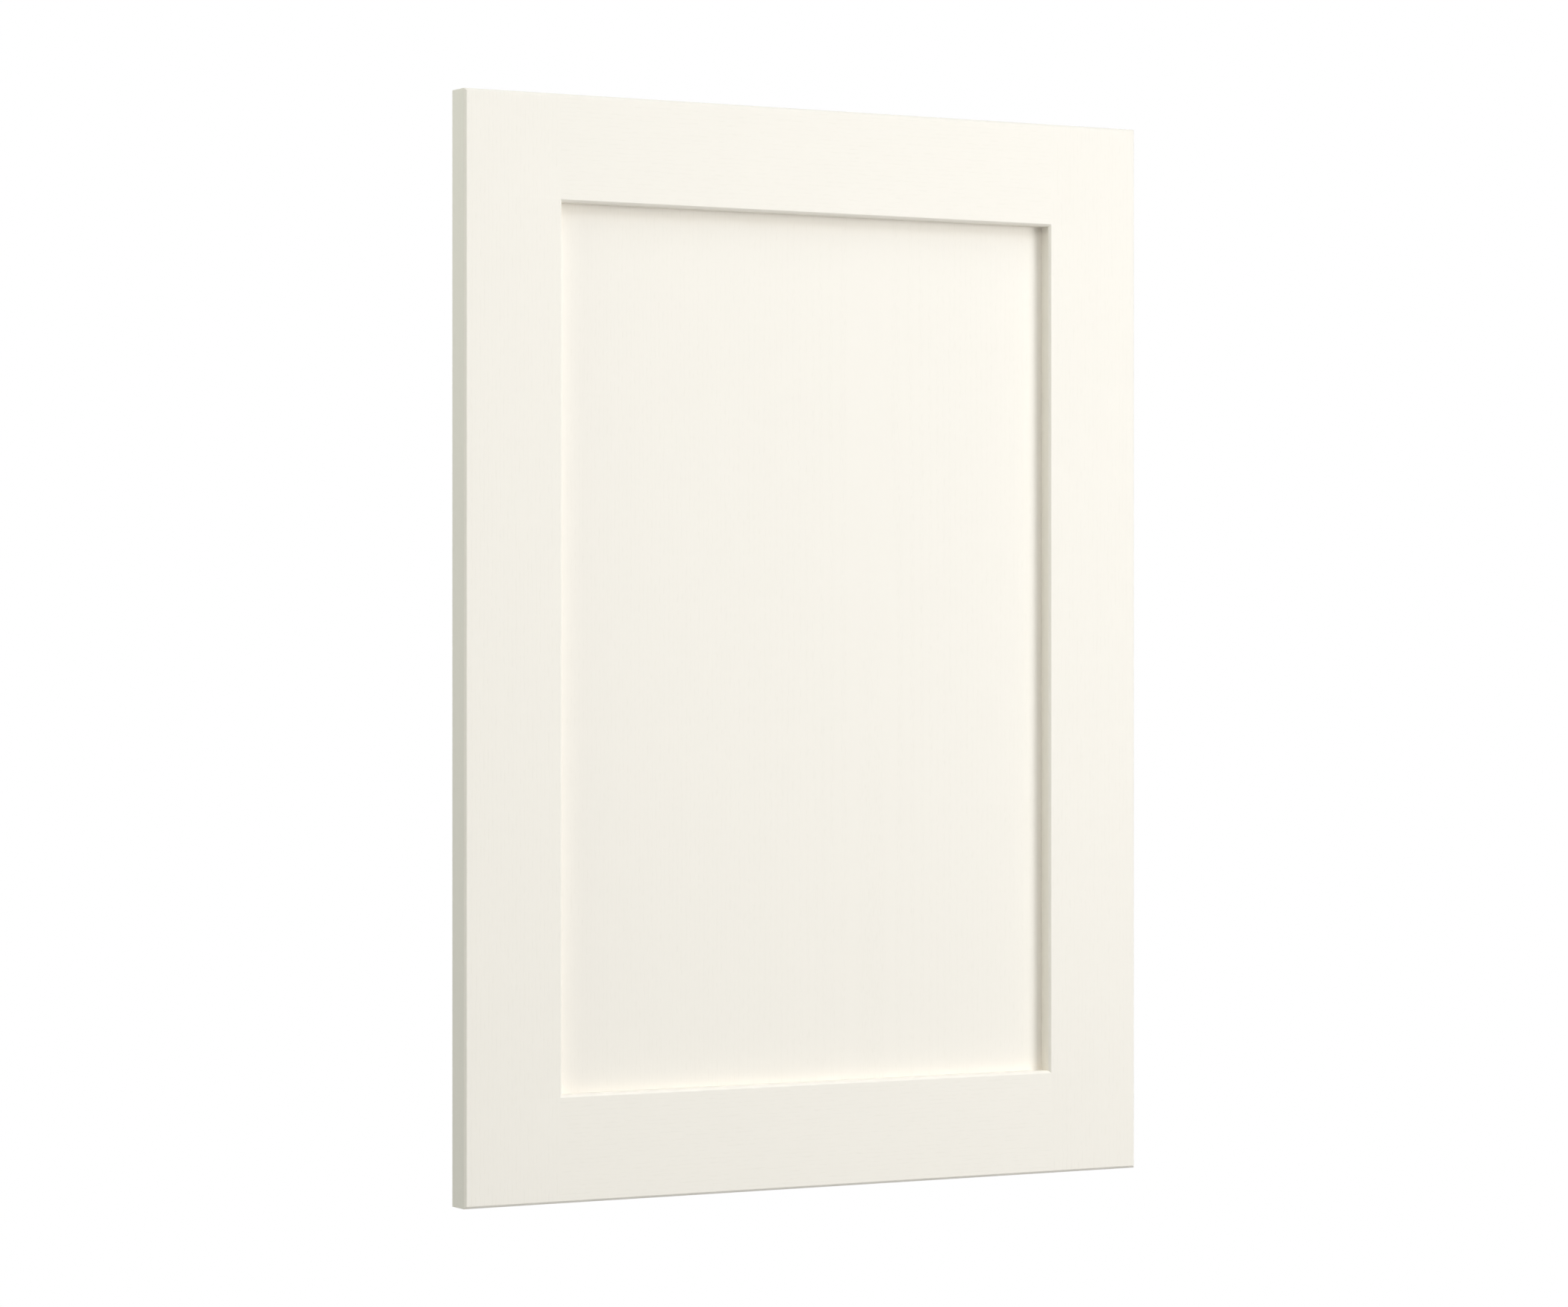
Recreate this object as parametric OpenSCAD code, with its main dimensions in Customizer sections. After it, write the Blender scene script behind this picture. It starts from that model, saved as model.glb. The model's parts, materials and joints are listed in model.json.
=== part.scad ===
// Kitchen cabinet door: two stiles and two rails, coped and glued round a flat centre panel.
// Sizes are in millimetres. The door stands on its bottom edge with its front facing -Y,
// centred on X and on Y, and the bottom edge lies at Z = 0.

/* [Door] */
// Width of the finished door
door_w = 497; // [397:1:597]
// Height of the finished door
door_h = 697; // [497:1:997]
// Thickness of the stiles and rails
door_t = 19; // [18:0.5:22]

/* [Frame] */
// Width of each stile, the upright members
stile_w = 68; // [60:1:90]
// Width of each rail, the level members
rail_w = 68; // [60:1:120]

/* [Edges] */
// Bevel at 45 degrees round the outer edge of the front
edge_bevel = 1.5; // [0.5:0.25:2.5]
// Bevel at 45 degrees round the opening in the front
inner_bevel = 1.5; // [0.5:0.25:2.5]
// Bevel at 45 degrees round the outer edge of the back
back_bevel = 1; // [0.5:0.25:2]

/* [Panel] */
// Depth of the panel's face behind the front of the frame
recess = 10; // [8:0.25:11]
// Thickness of the panel, and of the tenons that share its groove
panel_t = 5; // [4:0.25:6]

/* [Groove] */
// Depth of the groove in the inner edge of every stile and rail
groove_d = 10; // [8:0.5:12]
// Clearance on each face of the panel and of the tenons in the groove
groove_fit = 0.1; // [0.05:0.05:0.25]
// Room for the panel to move between its edge and the floor of the groove
panel_room = 1; // [0.5:0.25:2]
// Glue space between the end of a tenon and the floor of the groove
tenon_room = 0.3; // [0.1:0.1:0.8]

/* [Hinge drilling] */
// Diameter of the hinge cup bores in the back of the left stile
cup_d = 35; // [26:1:36]
// Depth of the hinge cup bores
cup_depth = 12.5; // [11.5:0.25:13.5]
// Distance from the door's edge to the centre of a cup bore
cup_edge = 22.5; // [21:0.25:25]
// Distance from the door's top or bottom to the centre of its cup bore
cup_end = 100; // [80:1:150]
// Diameter of the dowel holes that hold the hinge's flange
dowel_d = 8; // [5:0.5:8]
// Depth of the dowel holes
dowel_depth = 11; // [10:0.5:13]
// Distance between the two dowel holes of a hinge, up the door
dowel_pitch = 45; // [44:0.5:48]
// Distance of the dowel holes beyond the cup's centre, away from the door's edge
dowel_offset = 9.5; // [9:0.25:11]

/* [Hidden] */
$fn = 96;

// Off-white paint on every piece
paint = [0.96, 0.95, 0.91];

// The groove is the panel's thickness and a clearance on each face of it
groove_front = recess - groove_fit;
groove_back = recess + panel_t + groove_fit;

// Half lengths of a rail, from the door's middle: to its shoulder on the stile's inner edge,
// to the tip of the cope that laps the stile's bevel, and to the end of its tenon
shoulder_x = door_w / 2 - stile_w;
cope_x = shoulder_x + inner_bevel;
tenon_x = shoulder_x + groove_d - tenon_room;

// The panel fills the opening and reaches into the groove on all four sides
panel_reach = groove_d - panel_room;
panel_w = door_w - 2 * stile_w + 2 * panel_reach;
panel_h = door_h - 2 * rail_w + 2 * panel_reach;

// How far a cutting shape runs past the face it opens
past = 1;

// Moves a shape whose front is at Y = 0 so that the door is centred on its thickness
module to_centre() {
    translate([0, -door_t / 2, 0])
        children();
}

// Stands an outline, drawn as height and depth, on end and extrudes it across the door
module across(length) {
    rotate([0, -90, 0])
        linear_extrude(height = length, center = true)
            children();
}

// Section of a stile or rail: x runs in from the door's edge, y from the front to the back
module member_section(width) {
    polygon([
        [0, edge_bevel],
        [edge_bevel, 0],
        [width - inner_bevel, 0],
        [width, inner_bevel],
        [width, groove_front],
        [width - groove_d, groove_front],
        [width - groove_d, groove_back],
        [width, groove_back],
        [width, door_t],
        [back_bevel, door_t],
        [0, door_t - back_bevel]
    ]);
}

// Outline of the door seen from its side: x runs up the door, y from the front to the back
module side_outline() {
    polygon([
        [0, edge_bevel],
        [edge_bevel, 0],
        [door_h - edge_bevel, 0],
        [door_h, edge_bevel],
        [door_h, door_t - back_bevel],
        [door_h - back_bevel, door_t],
        [back_bevel, door_t],
        [0, door_t - back_bevel]
    ]);
}

// Outline of a rail seen from above, with a cope, a shoulder and a stub tenon at each end.
// The cope is the stile's bevel in reverse, so the two bevels meet in a mitre.
module rail_outline() {
    right_end = [
        [cope_x, 0],
        [shoulder_x, inner_bevel],
        [shoulder_x, recess],
        [tenon_x, recess],
        [tenon_x, recess + panel_t],
        [shoulder_x, recess + panel_t],
        [shoulder_x, door_t]
    ];
    left_end = [for (i = [len(right_end) - 1 : -1 : 0]) [-right_end[i].x, right_end[i].y]];
    polygon(concat(right_end, left_end));
}

// Left stile before it is drilled
module stile() {
    to_centre()
        intersection() {
            translate([-door_w / 2, 0, -past])
                linear_extrude(height = door_h + 2 * past)
                    member_section(stile_w);
            across(door_w + 2 * past)
                side_outline();
        }
}

// Bottom rail: the moulded section cut to the outline with its tenons
module rail() {
    to_centre()
        intersection() {
            across(2 * (tenon_x + past))
                member_section(rail_w);
            translate([0, 0, -past])
                linear_extrude(height = rail_w + 2 * past)
                    rail_outline();
        }
}

// A round hole of a given depth, drilled into the back of the door
module drilling(x, z, diameter, depth) {
    translate([x, door_t / 2 - depth, z])
        rotate([-90, 0, 0])
            cylinder(d = diameter, h = depth + past);
}

// The cup bore and the two dowel holes of one hinge
module hinge_drilling(z) {
    cup_x = cup_edge - door_w / 2;
    drilling(cup_x, z, cup_d, cup_depth);
    for (side = [-1, 1])
        drilling(cup_x + dowel_offset, z + side * dowel_pitch / 2, dowel_d, dowel_depth);
}

// Hinge-side stile, drilled in the back for two concealed hinges
module left_stile() {
    color(paint)
        difference() {
            stile();
            for (z = [cup_end, door_h - cup_end])
                hinge_drilling(z);
        }
}

// Opening-side stile, undrilled
module right_stile() {
    color(paint)
        mirror([1, 0, 0])
            stile();
}

module bottom_rail() {
    color(paint)
        rail();
}

module top_rail() {
    color(paint)
        translate([0, 0, door_h])
            mirror([0, 0, 1])
                rail();
}

// Flat panel held in the grooves of the frame
module centre_panel() {
    color(paint)
        to_centre()
            translate([-panel_w / 2, recess, rail_w - panel_reach])
                cube([panel_w, panel_t, panel_h]);
}

left_stile();
right_stile();
top_rail();
bottom_rail();
centre_panel();
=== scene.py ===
"""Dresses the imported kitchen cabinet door: softened mouldings, painted grain, studio light.

Lengths are in metres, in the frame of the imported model: the front faces -Y, X runs across the
door and Z up it. One Geometry Nodes tree moulds all four members of the frame, as one set of
cutters would in the workshop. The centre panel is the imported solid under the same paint.
"""

import json
import math

import bpy
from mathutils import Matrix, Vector

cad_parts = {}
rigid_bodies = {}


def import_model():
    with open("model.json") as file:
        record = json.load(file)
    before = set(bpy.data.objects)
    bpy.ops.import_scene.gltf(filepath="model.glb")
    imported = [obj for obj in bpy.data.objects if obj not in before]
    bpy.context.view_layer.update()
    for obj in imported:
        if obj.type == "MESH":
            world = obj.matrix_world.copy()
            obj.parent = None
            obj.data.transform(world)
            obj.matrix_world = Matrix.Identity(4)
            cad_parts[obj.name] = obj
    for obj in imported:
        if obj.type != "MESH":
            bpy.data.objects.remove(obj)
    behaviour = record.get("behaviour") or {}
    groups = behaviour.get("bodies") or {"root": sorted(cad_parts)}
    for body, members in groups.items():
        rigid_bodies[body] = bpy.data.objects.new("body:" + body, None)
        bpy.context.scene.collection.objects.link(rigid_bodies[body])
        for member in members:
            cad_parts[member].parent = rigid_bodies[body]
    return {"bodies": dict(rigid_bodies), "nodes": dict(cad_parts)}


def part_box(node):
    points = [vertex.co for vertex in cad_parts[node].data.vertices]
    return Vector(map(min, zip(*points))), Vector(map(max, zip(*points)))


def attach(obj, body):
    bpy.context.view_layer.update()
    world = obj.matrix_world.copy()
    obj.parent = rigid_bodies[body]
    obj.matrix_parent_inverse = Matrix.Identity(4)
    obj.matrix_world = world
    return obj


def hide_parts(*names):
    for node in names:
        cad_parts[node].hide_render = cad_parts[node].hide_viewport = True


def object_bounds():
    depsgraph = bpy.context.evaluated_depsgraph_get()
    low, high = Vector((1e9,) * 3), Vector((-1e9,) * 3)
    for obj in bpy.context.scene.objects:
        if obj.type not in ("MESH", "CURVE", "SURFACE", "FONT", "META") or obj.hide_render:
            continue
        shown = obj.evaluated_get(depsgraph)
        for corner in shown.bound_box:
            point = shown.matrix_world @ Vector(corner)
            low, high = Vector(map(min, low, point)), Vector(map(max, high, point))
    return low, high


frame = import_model()
cad_low, cad_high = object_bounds()
(BODY,) = frame["bodies"]

MM = 0.001

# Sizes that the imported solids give
stile_low, stile_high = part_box("left_stile")
rail_low, rail_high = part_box("bottom_rail")
panel_low, panel_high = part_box("centre_panel")
DOOR = cad_high - cad_low
DOOR_CENTRE = (cad_low + cad_high) / 2
STILE_WIDTH = stile_high.x - stile_low.x
RAIL_WIDTH = rail_high.z - rail_low.z
RECESS = panel_low.y - cad_low.y
PANEL_THICKNESS = panel_high.y - panel_low.y

# Sizes of the cutters, as in the part's source
EDGE_BEVEL = 1.5 * MM
INNER_BEVEL = 1.5 * MM
BACK_BEVEL = 1 * MM
GROOVE_DEPTH = 10 * MM
GROOVE_FIT = 0.1 * MM
TENON_ROOM = 0.3 * MM

# Hinge drilling in the back of the left stile, as in the part's source
CUP_RADIUS = 17.5 * MM
CUP_DEPTH = 12.5 * MM
CUP_FROM_EDGE = 22.5 * MM
CUP_FROM_END = 100 * MM
DOWEL_RADIUS = 4 * MM
DOWEL_DEPTH = 11 * MM
DOWEL_PITCH = 45 * MM
DOWEL_OFFSET = 9.5 * MM
CUP_FACETS = 96
DOWEL_FACETS = 48

# How far sanding and paint round an arris, measured along its faces
ARRIS = 0.3 * MM
ARRIS_FACETS = 3

# Convex folds over LEAST_FOLD are arrises. Folds still over LEAST_CREASE once the arrises are
# softened shade as creases.
LEAST_FOLD = math.radians(20)
LEAST_CREASE = math.radians(35)

# What marks the walls of a bore, whose wood stays bare
BARE_MARK = 1.0

# How far a cutting shape runs past the face it opens
PAST = 1 * MM

# Less than any step or clearance in the part
HAIR = 0.02 * MM

# Colours, as shares of the light that they send back
PAINT = (0.915, 0.870, 0.800)
PAINT_IN_PORES = (0.72, 0.68, 0.60)
FRESH_WOOD = (0.68, 0.51, 0.34)
WOOD_FIBRE = (0.50, 0.34, 0.20)
FLOOR_COLOUR = (0.56, 0.56, 0.56)

# Growth rings round a pith behind the door, drawn out and wandering along the grain
PITH = (0.05, 0.09, 0.36)
RING_SPACING = 2.6 * MM
RING_STRETCH = 10
RING_WANDER = 5.0
WANDER_DETAIL = 2.0
WANDER_SCALE = 0.15

# Radians of a ring pattern that the Wave Texture node counts for a metre, at a scale of 1
WAVE_RADIANS = 20

# Streaks and pores in the grain: their size across it and along it, and the detail and seed of
# their noise. Pores open in the spring wood, where a ring is early, and where noise is high.
STREAK_SIZE = (1.2 * MM, 26 * MM)
STREAK_DETAIL = 2.0
STREAK_SEED = 11.3
PORE_SIZE = (0.3 * MM, 6 * MM)
PORE_DETAIL = 0.0
PORE_SEED = 23.1
PORE_NOISE = (0.56, 0.70)
SPRING_WOOD = (0.55, 0.35)

# How the grain shows through the paint, in relief, in tone and in gloss
RING_RELIEF = 0.004 * MM
STREAK_RELIEF = 0.006 * MM
PORE_RELIEF = 0.010 * MM
TONE_IN_STREAKS = 0.04
TONE_IN_PORES = 0.12
SATIN = 0.42
SATIN_SPREAD = 0.10

# Fibres of the bare wood in the bores
FIBRE_SIZE = (1.0 * MM, 20 * MM)
FIBRE_DETAIL = 4.0
FIBRE_SEED = 5.9
FIBRE_NOISE = (0.3, 0.7)
FIBRE_RELIEF = 0.1 * MM
DRILLED_ROUGHNESS = 0.75

# Floor. It is partly white under the door and wholly white further out.
FLOOR_HEIGHT = -0.35
FLOOR_REACH = 60
SHADOW_REACH = 0.9
WHITE_FROM = 1.8
LEAST_WHITE = 0.5

# Soft boxes: plan angle from straight in front towards the door's right and elevation, in
# degrees, then distance, width, height, power in watts and tint
LAMPS = {
    "left": (-80, 20, 3.5, 1.4, 1.4, 30, (0.96, 1.0, 0.90)),
    "behind_left": (-126, 42, 2.0, 0.8, 0.8, 13, (0.95, 1.0, 0.94)),
    "right": (38, 5, 4.2, 2.0, 1.4, 70, (1.01, 1.0, 0.97)),
    "high_front": (-8, 29, 4.8, 1.8, 2.0, 49, (1.01, 1.0, 0.945)),
    "high_right": (30, 42, 5.8, 2.2, 2.2, 88, (0.935, 1.0, 1.08)),
    "top": (16, 68, 4.2, 1.6, 1.4, 34, (0.96, 1.0, 1.03)),
    "behind": (156, 1, 6.0, 2.0, 1.6, 130, (1.0, 1.0, 1.0)),
}

# Camera, where the photograph was taken from
CAMERA_PLACE = (-1.5320, -2.7146, 0.3473)
CAMERA_HEADING = math.radians(29.18)
CAMERA_LENS = 110.49
CAMERA_SENSOR = 36
CAMERA_SHIFT_Y = -0.00195


# Wiring nodes

def add(tree, kind, inputs=None, **settings):
    """Adds a node with its settings, and gives its inputs a value or a link each."""
    node = tree.nodes.new(kind)
    for name, value in settings.items():
        setattr(node, name, value)
    for key, value in (inputs or {}).items():
        if isinstance(value, bpy.types.NodeSocket):
            tree.links.new(value, node.inputs[key])
        else:
            node.inputs[key].default_value = value
    return node


def maths(tree, operation, *values):
    """The result of a Math node."""
    return add(tree, "ShaderNodeMath", dict(enumerate(values)), operation=operation).outputs[0]


def total(tree, a, b):
    """The sum of two values."""
    return maths(tree, "ADD", a, b)


def less(tree, a, b):
    """What is left of a without b."""
    return maths(tree, "SUBTRACT", a, b)


def times(tree, a, b):
    """The product of two values."""
    return maths(tree, "MULTIPLY", a, b)


def half(tree, a):
    """Half of a value."""
    return times(tree, a, 0.5)


def negative(tree, a):
    """A value with its sign turned."""
    return times(tree, a, -1)


def point(tree, x=0, y=0, z=0):
    """A place, shift or turn from its three parts."""
    return add(tree, "ShaderNodeCombineXYZ", {"X": x, "Y": y, "Z": z}).outputs[0]


def moved(tree, geometry, shift=(0, 0, 0), turn=(0, 0, 0)):
    """A shape turned, then shifted."""
    inputs = {"Geometry": geometry, "Rotation": turn, "Translation": shift}
    return add(tree, "GeometryNodeTransform", inputs).outputs[0]


def named(tree, geometry, domain, name, value):
    """A shape that carries a named value on its edges or faces."""
    inputs = {"Geometry": geometry, "Name": name, "Value": value}
    return add(
        tree, "GeometryNodeStoreNamedAttribute", inputs, data_type="FLOAT", domain=domain
    ).outputs[0]


def either(tree, choice, if_not, if_so, kind="GEOMETRY"):
    """One of two shapes or values, as an input of the tree decides."""
    inputs = {"Switch": choice, "False": if_not, "True": if_so}
    return add(tree, "GeometryNodeSwitch", inputs, input_type=kind).outputs[0]


def new_group(name, entries):
    """A Geometry Nodes tree with these inputs and one geometry output.

    Each entry is a default length, or the class of a socket. Returns the tree and the sockets
    that carry its inputs, by name.
    """
    tree = bpy.data.node_groups.new(name, "GeometryNodeTree")
    for label, entry in entries.items():
        kind = entry if isinstance(entry, str) else "NodeSocketFloat"
        socket = tree.interface.new_socket(label, in_out="INPUT", socket_type=kind)
        if kind != entry:
            socket.default_value = entry
            socket.subtype = "DISTANCE"
    tree.interface.new_socket("Geometry", in_out="OUTPUT", socket_type="NodeSocketGeometry")
    return tree, tree.nodes.new("NodeGroupInput").outputs


def give(tree, geometry):
    """Makes a shape the tree's result."""
    output = tree.nodes.new("NodeGroupOutput")
    tree.links.new(geometry, output.inputs["Geometry"])


# The drilling for concealed hinges

def drill_bit(tree, radius, depth, facets):
    """A bit that comes from +Y and has reached this depth past Y = 0."""
    size = {"Vertices": facets, "Radius": radius, "Depth": total(tree, depth, PAST)}
    bit = add(tree, "GeometryNodeMeshCylinder", size).outputs["Mesh"]
    middle = half(tree, less(tree, PAST, depth))
    return moved(tree, bit, shift=point(tree, y=middle), turn=(math.pi / 2, 0, 0))


def pair_up_the_door(tree, geometry, pitch):
    """Two instances of a shape, this far apart along Z and centred."""
    ends = {
        "Count": 2,
        "Start Location": point(tree, z=negative(tree, half(tree, pitch))),
        "Offset": point(tree, z=pitch),
    }
    places = add(tree, "GeometryNodeMeshLine", ends).outputs[0]
    copies = {"Points": places, "Instance": geometry}
    return add(tree, "GeometryNodeInstanceOnPoints", copies).outputs[0]


def drilling_tree():
    """The bits that bore the cups and dowel holes of two hinges into a back face at Y = 0."""
    tree, size = new_group(
        "hinge_drilling",
        {
            "Hinge Pitch": DOOR.z - 2 * CUP_FROM_END,
            "Cup Radius": CUP_RADIUS,
            "Cup Depth": CUP_DEPTH,
            "Dowel Radius": DOWEL_RADIUS,
            "Dowel Depth": DOWEL_DEPTH,
            "Dowel Pitch": DOWEL_PITCH,
            "Dowel Offset": DOWEL_OFFSET,
        },
    )
    cup = drill_bit(tree, size["Cup Radius"], size["Cup Depth"], CUP_FACETS)
    dowel = drill_bit(tree, size["Dowel Radius"], size["Dowel Depth"], DOWEL_FACETS)
    dowels = pair_up_the_door(tree, dowel, size["Dowel Pitch"])
    dowels = moved(tree, dowels, shift=point(tree, x=size["Dowel Offset"]))
    one_hinge = add(tree, "GeometryNodeJoinGeometry")
    tree.links.new(cup, one_hinge.inputs[0])
    tree.links.new(dowels, one_hinge.inputs[0])
    hinges = pair_up_the_door(tree, one_hinge.outputs[0], size["Hinge Pitch"])
    give(tree, add(tree, "GeometryNodeRealizeInstances", {"Geometry": hinges}).outputs[0])
    return tree


# The moulded members of the frame

def through(tree, curve, spots):
    """A curve whose points are moved to these spots, in order."""
    choice = add(tree, "GeometryNodeIndexSwitch", data_type="VECTOR")
    while len(choice.index_switch_items) < len(spots):
        choice.index_switch_items.new()
    tree.links.new(add(tree, "GeometryNodeInputIndex").outputs[0], choice.inputs["Index"])
    for place, spot in enumerate(spots):
        tree.links.new(spot, choice.inputs[place + 1])
    bent = {"Geometry": curve, "Position": choice.outputs[0]}
    return add(tree, "GeometryNodeSetPosition", bent).outputs[0]


def prism(tree, corners, stations):
    """A closed bar along Z whose section has these (x, y) corners.

    The section stands at each of these distances from the middle, on both sides of it. The
    last distance is that of the ends.
    """
    outline = {"Resolution": len(corners)}
    ring = add(tree, "GeometryNodeCurvePrimitiveCircle", outline).outputs[0]
    section = through(tree, ring, [point(tree, x, y) for x, y in corners])
    path = [point(tree, z=negative(tree, z)) for z in reversed(stations)]
    path += [point(tree, z=z) for z in stations]
    line = add(tree, "GeometryNodeCurvePrimitiveLine").outputs[0]
    line = add(tree, "GeometryNodeResampleCurve", {"Curve": line, "Count": len(path)}).outputs[0]
    sweep = {"Curve": through(tree, line, path), "Profile Curve": section, "Fill Caps": True}
    return add(tree, "GeometryNodeCurveToMesh", sweep).outputs[0]


def both_ends(tree, one_end):
    """An outline symmetrical about Y, from the (x, y) corners of its +X end."""
    return one_end + [(negative(tree, x), y) for x, y in reversed(one_end)]


def beyond(tree, place, limit):
    """1 where a place is past a limit by more than a hair, and 0 elsewhere."""
    return maths(tree, "GREATER_THAN", place, total(tree, limit, HAIR))


def short_of(tree, place, limit):
    """1 where a place is short of a limit by more than a hair, and 0 elsewhere."""
    return maths(tree, "LESS_THAN", place, less(tree, limit, HAIR))


def arrises(tree, groove_front, groove_back, joint_side, joint_start, bevel):
    """1 on the convex edges that sanding and paint soften, and 0 in the groove and joints.

    A joint takes the side of the member past joint_side, from joint_start to its end. In
    front it starts further out, along the mitre of the bevel.
    """
    fold = add(tree, "GeometryNodeInputMeshEdgeAngle").outputs["Signed Angle"]
    place = add(tree, "GeometryNodeInputPosition").outputs[0]
    at = add(tree, "ShaderNodeSeparateXYZ", {0: place}).outputs
    convex = maths(tree, "GREATER_THAN", fold, LEAST_FOLD)
    before = short_of(tree, at["Y"], groove_front)
    behind = beyond(tree, at["Y"], groove_back)
    off_groove = maths(tree, "MAXIMUM", before, behind)
    outer = short_of(tree, at["X"], joint_side)
    mitre = maths(tree, "MAXIMUM", less(tree, bevel, at["Y"]), 0.0)
    start = total(tree, joint_start, mitre)
    between = short_of(tree, maths(tree, "ABSOLUTE", at["Z"]), start)
    off_joint = maths(tree, "MAXIMUM", outer, between)
    return times(tree, convex, times(tree, off_groove, off_joint))


def member_tree(drilling):
    """The tree that moulds a stile or a rail, squares or copes its ends, and drills it.

    The member stands on end while it is worked: x runs in from its outer edge, y from the
    front to the back, and z from the middle of its length. It is turned into place last.
    """
    tree, size = new_group(
        "moulded_member",
        {
            "Length": DOOR.z,
            "Width": STILE_WIDTH,
            "Rail Width": RAIL_WIDTH,
            "Thickness": DOOR.y,
            "Reach from Centre": DOOR.x / 2,
            "Turn": "NodeSocketFloat",
            "Coped": "NodeSocketBool",
            "Drilled": "NodeSocketBool",
            "Edge Bevel": EDGE_BEVEL,
            "Inner Bevel": INNER_BEVEL,
            "Back Bevel": BACK_BEVEL,
            "Recess": RECESS,
            "Panel Thickness": PANEL_THICKNESS,
            "Groove Depth": GROOVE_DEPTH,
            "Groove Fit": GROOVE_FIT,
            "Tenon Room": TENON_ROOM,
            "Cup from Edge": CUP_FROM_EDGE,
            "Cup from End": CUP_FROM_END,
            "Paint": "NodeSocketMaterial",
            "Bare Wood": "NodeSocketMaterial",
        },
    )
    width = size["Width"]
    thickness = size["Thickness"]
    recess = size["Recess"]
    half_length = half(tree, size["Length"])
    back_edge = less(tree, thickness, size["Back Bevel"])
    inner_edge = less(tree, width, size["Inner Bevel"])
    groove_floor = less(tree, width, size["Groove Depth"])
    groove_front = less(tree, recess, size["Groove Fit"])
    panel_back = total(tree, recess, size["Panel Thickness"])
    groove_back = total(tree, panel_back, size["Groove Fit"])

    # The bar, with its bevels and the groove for the panel, and with a station on each side
    # where a joint starts: behind, and in front at the mitre
    section = [
        (0, size["Edge Bevel"]),
        (size["Edge Bevel"], 0),
        (inner_edge, 0),
        (width, size["Inner Bevel"]),
        (width, groove_front),
        (groove_floor, groove_front),
        (groove_floor, groove_back),
        (width, groove_back),
        (width, thickness),
        (size["Back Bevel"], thickness),
        (0, back_edge),
    ]
    joint = less(tree, half_length, size["Rail Width"])
    mitre = total(tree, joint, size["Inner Bevel"])
    bar = prism(tree, section, [joint, mitre, size["Length"]])

    # Square ends, bevelled as the outer edge is. The outlines of both kinds of end run past
    # the bar's front and back.
    past_front = -PAST
    past_back = total(tree, thickness, PAST)
    front_run = total(tree, size["Edge Bevel"], PAST)
    back_run = total(tree, size["Back Bevel"], PAST)
    square = [
        (less(tree, half_length, front_run), past_front),
        (half_length, size["Edge Bevel"]),
        (half_length, back_edge),
        (less(tree, half_length, back_run), past_back),
    ]

    # Coped ends: the stile's bevel in reverse, a shoulder, and a stub tenon for its groove
    tenon_length = less(tree, size["Groove Depth"], size["Tenon Room"])
    tenon = total(tree, half_length, tenon_length)
    cope_run = total(tree, size["Inner Bevel"], PAST)
    coped = [
        (total(tree, half_length, cope_run), past_front),
        (half_length, size["Inner Bevel"]),
        (half_length, recess),
        (tenon, recess),
        (tenon, panel_back),
        (half_length, panel_back),
        (half_length, past_back),
    ]
    across = [times(tree, width, 2)]
    squared_ends = prism(tree, both_ends(tree, square), across)
    coped_ends = prism(tree, both_ends(tree, coped), across)
    ends = either(tree, size["Coped"], squared_ends, coped_ends)
    ends = moved(tree, ends, turn=(0, -math.pi / 2, 0))
    cut = add(tree, "GeometryNodeMeshBoolean", operation="INTERSECT", solver="EXACT")
    tree.links.new(bar, cut.inputs["Mesh 2"])
    tree.links.new(ends, cut.inputs["Mesh 2"])
    joint_side = either(tree, size["Coped"], inner_edge, 0.0, kind="FLOAT")
    joint_start = either(tree, size["Coped"], joint, half_length, kind="FLOAT")
    softened = arrises(
        tree, groove_front, groove_back, joint_side, joint_start, size["Inner Bevel"]
    )
    member = named(tree, cut.outputs["Mesh"], "EDGE", "bevel_weight_edge", softened)

    # Bores through the paint, marked so that their bare wood shows
    hinge_pitch = less(tree, size["Length"], times(tree, size["Cup from End"], 2))
    bits = add(tree, "GeometryNodeGroup", node_tree=drilling)
    tree.links.new(hinge_pitch, bits.inputs["Hinge Pitch"])
    over_cups = point(tree, x=size["Cup from Edge"], y=thickness)
    bits = moved(tree, bits.outputs[0], shift=over_cups)
    bits = named(tree, bits, "FACE", "bare", BARE_MARK)
    bored = {"Mesh 1": member, "Mesh 2": bits}
    drilled = add(
        tree, "GeometryNodeMeshBoolean", bored, operation="DIFFERENCE", solver="EXACT"
    ).outputs["Mesh"]
    member = either(tree, size["Drilled"], member, drilled)

    # Smooth, and into its place in the door
    smooth = add(tree, "GeometryNodeSetShadeSmooth", {"Geometry": member}, domain="FACE")
    member = smooth.outputs[0]
    outwards = negative(tree, size["Reach from Centre"])
    forwards = negative(tree, half(tree, thickness))
    member = moved(tree, member, shift=point(tree, outwards, forwards))
    turn = point(tree, y=size["Turn"])
    member = moved(tree, member, shift=tuple(DOOR_CENTRE), turn=turn)
    member = add(tree, "GeometryNodeRealizeInstances", {"Geometry": member}).outputs[0]
    painted = {"Geometry": member, "Material": size["Paint"]}
    member = add(tree, "GeometryNodeSetMaterial", painted).outputs[0]
    mark = add(tree, "GeometryNodeInputNamedAttribute", {"Name": "bare"}, data_type="FLOAT")
    bare = {
        "Geometry": member,
        "Selection": maths(tree, "GREATER_THAN", mark.outputs[0], BARE_MARK / 2),
        "Material": size["Bare Wood"],
    }
    give(tree, add(tree, "GeometryNodeSetMaterial", bare).outputs[0])
    return tree


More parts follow.
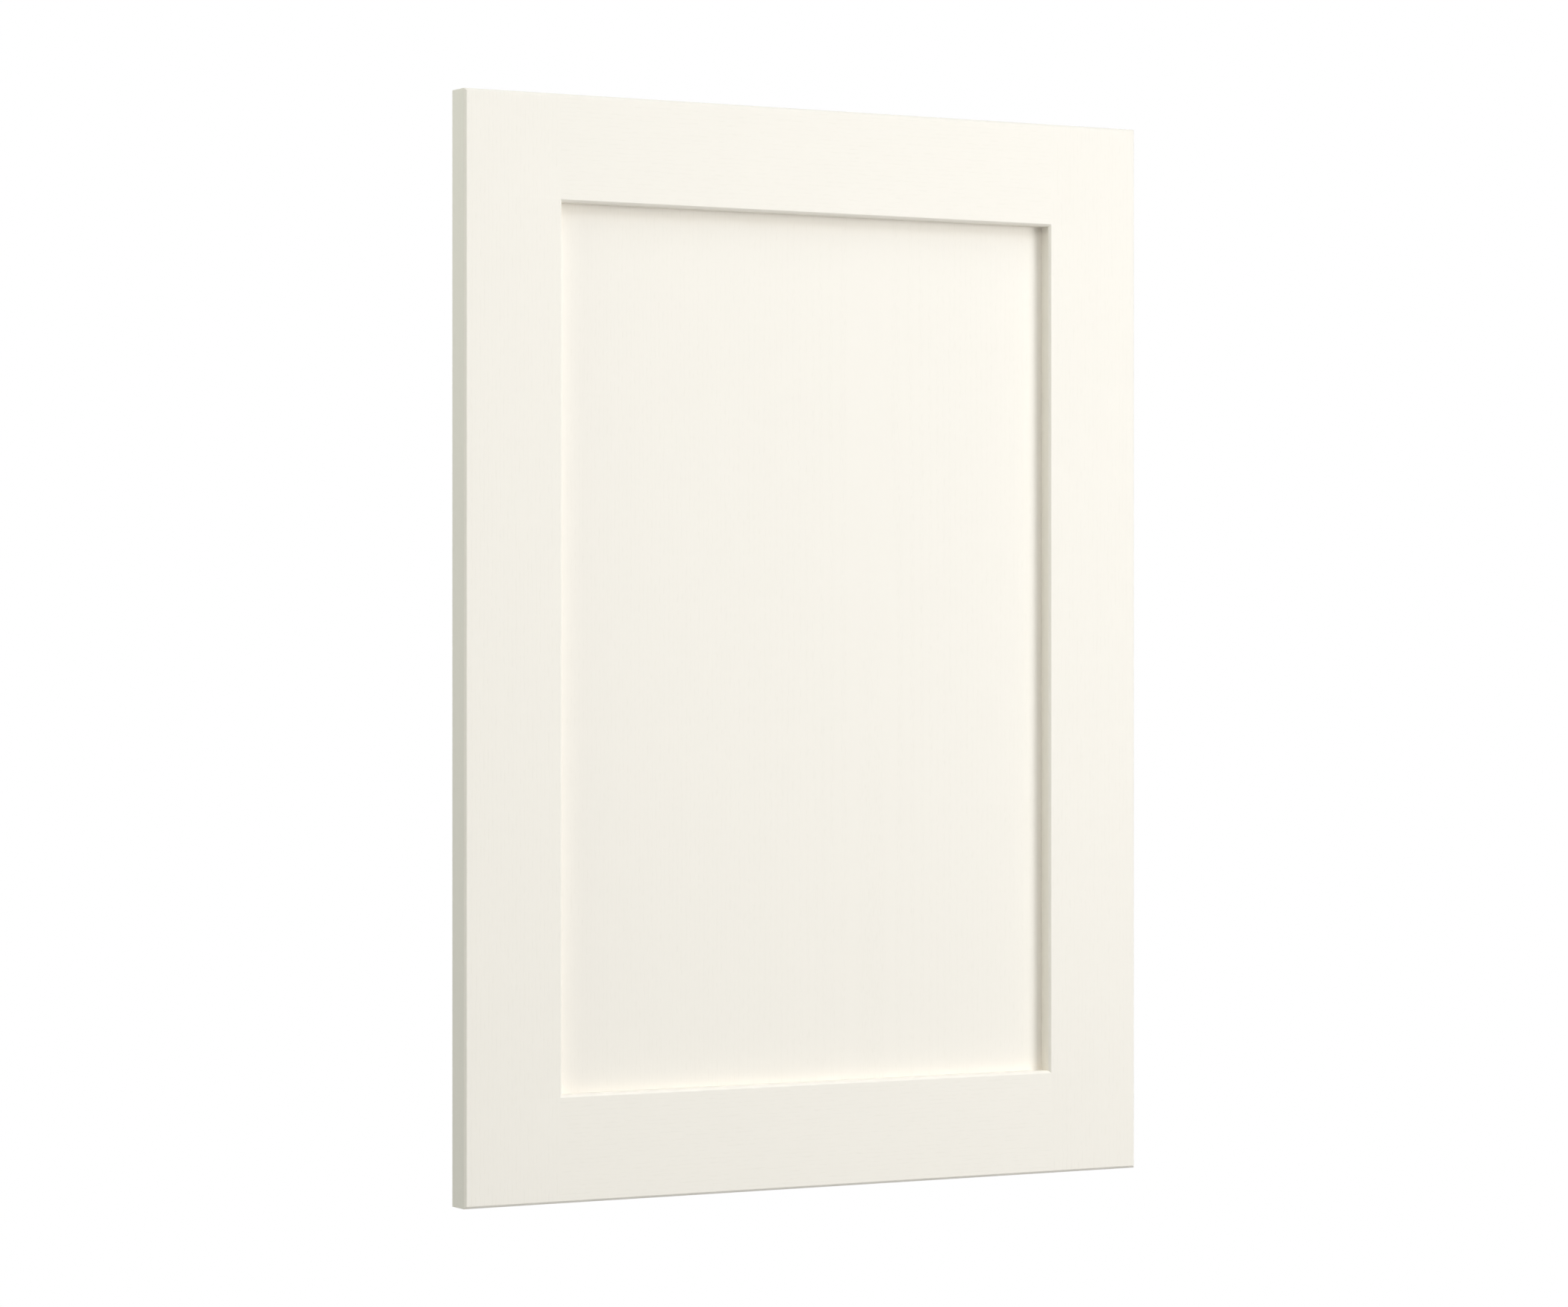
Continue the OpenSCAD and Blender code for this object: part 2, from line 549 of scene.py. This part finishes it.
def plain_mesh(piece):
    """A mesh of what a piece's modifiers make. They are taken off the piece."""
    depsgraph = bpy.context.evaluated_depsgraph_get()
    made = piece.evaluated_get(depsgraph)
    mesh = bpy.data.meshes.new_from_object(made, depsgraph=depsgraph)
    piece.modifiers.clear()
    return mesh


def drop_unused_materials(mesh):
    """Leaves the material slots that some face uses."""
    used = {face.material_index for face in mesh.polygons}
    for place in reversed(range(len(mesh.materials))):
        if place not in used:
            mesh.materials.pop(index=place)


def make_member(node, tree, sizes):
    """Runs the member tree, softens the arrises, and stands the piece for its node."""
    name = "painted_" + node
    piece = bpy.data.objects.new(name, bpy.data.meshes.new(name))
    bpy.context.scene.collection.objects.link(piece)
    moulding = piece.modifiers.new("moulding", "NODES")
    moulding.node_group = tree
    for item in tree.interface.items_tree:
        if item.name in sizes:
            moulding[item.identifier] = sizes[item.name]
    softening = piece.modifiers.new("softened_arrises", "BEVEL")
    softening.limit_method = "WEIGHT"
    softening.width = ARRIS
    softening.segments = ARRIS_FACETS
    piece.data = plain_mesh(piece)
    piece.data.set_sharp_from_angle(angle=LEAST_CREASE)
    shading = piece.modifiers.new("flat_faces", "WEIGHTED_NORMAL")
    shading.keep_sharp = True
    piece.data = plain_mesh(piece)
    drop_unused_materials(piece.data)
    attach(piece, BODY)
    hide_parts(node)


# Finishes

def new_material(name):
    """A material, its tree, its shader and the place of the shaded point in the door."""
    material = bpy.data.materials.new(name)
    material.use_nodes = True
    tree = material.node_tree
    place = add(tree, "ShaderNodeTexCoord").outputs["Object"]
    return material, tree, tree.nodes["Principled BSDF"], place


def level(tree, value, low, high, least=0.0):
    """Stretches the range from low to high over least to 1, and cuts what lies outside.

    With a low above the high, small values give 1 and large ones give the least.
    """
    limits = {"Value": value, "From Min": low, "From Max": high, "To Min": least}
    return add(tree, "ShaderNodeMapRange", limits).outputs[0]


def drawn_out(tree, place, grain, size, detail, seed):
    """Noise whose specks are this wide across the grain and this long along it."""
    across, along = size
    scale = [1 / across] * 3
    scale["XYZ".index(grain)] = 1 / along
    mapping = {"Vector": place, "Scale": scale, "Location": [seed] * 3}
    stretched = add(tree, "ShaderNodeMapping", mapping).outputs[0]
    noise = {"Vector": stretched, "Scale": 1.0, "Detail": detail}
    return add(tree, "ShaderNodeTexNoise", noise).outputs[0]


def growth_rings(tree, place, grain):
    """Growth rings, each a rise from 0 to 1 that ends in a step."""
    scale = [1, 1, 1]
    scale["XYZ".index(grain)] = 1 / RING_STRETCH
    to_pith = [-spot * factor for spot, factor in zip(PITH, scale)]
    mapping = {"Vector": place, "Scale": scale, "Location": to_pith}
    from_pith = add(tree, "ShaderNodeMapping", mapping).outputs[0]
    rings = {
        "Vector": from_pith,
        "Scale": 2 * math.pi / (WAVE_RADIANS * RING_SPACING),
        "Distortion": RING_WANDER,
        "Detail": WANDER_DETAIL,
        "Detail Scale": WANDER_SCALE,
    }
    return add(
        tree,
        "ShaderNodeTexWave",
        rings,
        wave_type="RINGS",
        rings_direction=grain,
        wave_profile="SAW",
    ).outputs["Fac"]


def painted_wood(name, grain):
    """Satin off-white paint through which the open grain of the wood, along an axis, shows."""
    material, tree, shader, place = new_material(name)
    rings = growth_rings(tree, place, grain)
    streaks = drawn_out(tree, place, grain, STREAK_SIZE, STREAK_DETAIL, STREAK_SEED)
    specks = drawn_out(tree, place, grain, PORE_SIZE, PORE_DETAIL, PORE_SEED)
    spring_wood = level(tree, rings, *SPRING_WOOD)
    pores = times(tree, level(tree, specks, *PORE_NOISE), spring_wood)

    tone_of_streaks = times(tree, streaks, TONE_IN_STREAKS)
    tone_of_pores = times(tree, pores, TONE_IN_PORES)
    blend = {
        "Factor": total(tree, tone_of_streaks, tone_of_pores),
        "A": (*PAINT, 1),
        "B": (*PAINT_IN_PORES, 1),
    }
    colour = add(tree, "ShaderNodeMix", blend, data_type="RGBA").outputs["Result"]
    tree.links.new(colour, shader.inputs["Base Color"])
    satin = total(tree, times(tree, streaks, SATIN_SPREAD), SATIN)
    tree.links.new(satin, shader.inputs["Roughness"])

    of_rings = times(tree, rings, RING_RELIEF / PORE_RELIEF)
    of_streaks = times(tree, streaks, STREAK_RELIEF / PORE_RELIEF)
    relief = less(tree, total(tree, of_rings, of_streaks), pores)
    bump = add(tree, "ShaderNodeBump", {"Height": relief, "Distance": PORE_RELIEF})
    tree.links.new(bump.outputs[0], shader.inputs["Normal"])
    return material


def bare_wood(name, grain):
    """Unpainted timber, as the drill leaves it in the bores."""
    material, tree, shader, place = new_material(name)
    fibres = drawn_out(tree, place, grain, FIBRE_SIZE, FIBRE_DETAIL, FIBRE_SEED)
    blend = {
        "Factor": level(tree, fibres, *FIBRE_NOISE),
        "A": (*WOOD_FIBRE, 1),
        "B": (*FRESH_WOOD, 1),
    }
    colour = add(tree, "ShaderNodeMix", blend, data_type="RGBA").outputs["Result"]
    tree.links.new(colour, shader.inputs["Base Color"])
    bump = add(tree, "ShaderNodeBump", {"Height": fibres, "Distance": FIBRE_RELIEF})
    tree.links.new(bump.outputs[0], shader.inputs["Normal"])
    shader.inputs["Roughness"].default_value = DRILLED_ROUGHNESS
    return material


# Floor, background and light

def white_to_the_eye(tree, seen, lighting):
    """One shader for what the eye, gloss and glass see, and another for the light it gives."""
    path = add(tree, "ShaderNodeLightPath").outputs
    eye = maths(tree, "MAXIMUM", path["Is Camera Ray"], path["Is Glossy Ray"])
    eye = maths(tree, "MAXIMUM", eye, path["Is Transmission Ray"])
    return add(tree, "ShaderNodeMixShader", {0: eye, 1: lighting, 2: seen}).outputs[0]


def lay_floor():
    """A wide pale floor that keeps the door's shadow and turns plain white further out."""
    reach = FLOOR_REACH
    corners = [(-reach, -reach), (reach, -reach), (reach, reach), (-reach, reach)]
    mesh = bpy.data.meshes.new("floor")
    mesh.from_pydata([(x, y, FLOOR_HEIGHT) for x, y in corners], [], [(0, 1, 2, 3)])
    floor = bpy.data.objects.new("floor", mesh)
    bpy.context.scene.collection.objects.link(floor)

    material, tree, shader, place = new_material("pale_floor")
    tree.nodes.remove(shader)
    lit = add(tree, "ShaderNodeBsdfDiffuse", {"Color": (*FLOOR_COLOUR, 1)}).outputs[0]
    white = add(tree, "ShaderNodeEmission", {"Strength": 1.0}).outputs[0]
    on_floor = add(
        tree, "ShaderNodeVectorMath", {0: place, 1: (1, 1, 0)}, operation="MULTIPLY"
    ).outputs[0]
    away = add(tree, "ShaderNodeVectorMath", {0: on_floor}, operation="LENGTH").outputs["Value"]
    fade = level(tree, away, SHADOW_REACH, WHITE_FROM, LEAST_WHITE)
    fading = add(tree, "ShaderNodeMixShader", {0: fade, 1: lit, 2: white}).outputs[0]
    surface = white_to_the_eye(tree, fading, lit)
    tree.links.new(surface, tree.nodes["Material Output"].inputs["Surface"])
    mesh.materials.append(material)


def set_background():
    """A background that the eye sees as plain white and that gives no light."""
    world = bpy.data.worlds.new("studio")
    world.use_nodes = True
    bpy.context.scene.world = world
    tree = world.node_tree
    white = tree.nodes["Background"]
    white.inputs["Color"].default_value = (1, 1, 1, 1)
    unlit = add(tree, "ShaderNodeBackground", {"Strength": 0.0})
    surface = white_to_the_eye(tree, white.outputs[0], unlit.outputs[0])
    tree.links.new(surface, tree.nodes["World Output"].inputs["Surface"])


def hang_lamp(name, plan_angle, elevation, distance, width, height, power, tint):
    """A soft box that faces the middle of the door."""
    data = bpy.data.lights.new(name, "AREA")
    data.shape = "RECTANGLE"
    data.size = width
    data.size_y = height
    data.energy = power
    data.color = tint
    lamp = bpy.data.objects.new(name, data)
    bpy.context.scene.collection.objects.link(lamp)
    plan = math.radians(plan_angle)
    rise = math.radians(elevation)
    level_share = math.cos(rise)
    outward = Vector(
        (math.sin(plan) * level_share, -math.cos(plan) * level_share, math.sin(rise))
    )
    lamp.location = DOOR_CENTRE + distance * outward
    lamp.rotation_euler = (-outward).to_track_quat("-Z", "Y").to_euler()


def set_camera():
    """The camera, level and at the height from which the photograph was taken."""
    data = bpy.data.cameras.new("camera")
    data.sensor_fit = "HORIZONTAL"
    data.sensor_width = CAMERA_SENSOR
    data.lens = CAMERA_LENS
    data.shift_y = CAMERA_SHIFT_Y
    camera = bpy.data.objects.new("camera", data)
    camera.location = CAMERA_PLACE
    camera.rotation_euler = (math.pi / 2, 0, -CAMERA_HEADING)
    bpy.context.scene.collection.objects.link(camera)
    bpy.context.scene.camera = camera


# Making the door

upright_paint = painted_wood("paint_over_upright_grain", "Z")
level_paint = painted_wood("paint_over_level_grain", "X")
wood_in_bores = bare_wood("bare_wood_in_bores", "Z")

members = member_tree(drilling_tree())
stile = {
    "Length": DOOR.z,
    "Width": STILE_WIDTH,
    "Reach from Centre": DOOR.x / 2,
    "Paint": upright_paint,
    "Bare Wood": wood_in_bores,
}
rail = {
    "Length": DOOR.x - 2 * STILE_WIDTH,
    "Width": RAIL_WIDTH,
    "Reach from Centre": DOOR.z / 2,
    "Coped": True,
    "Paint": level_paint,
    "Bare Wood": wood_in_bores,
}
make_member("left_stile", members, {**stile, "Turn": 0.0, "Drilled": True})
make_member("right_stile", members, {**stile, "Turn": math.pi})
make_member("top_rail", members, {**rail, "Turn": math.pi / 2})
make_member("bottom_rail", members, {**rail, "Turn": -math.pi / 2})

panel = frame["nodes"]["centre_panel"]
panel.data.materials.clear()
panel.data.materials.append(upright_paint)

lay_floor()
set_background()
for lamp_name, lamp_values in LAMPS.items():
    hang_lamp(lamp_name, *lamp_values)
set_camera()
bpy.context.scene.view_settings.view_transform = "Standard"
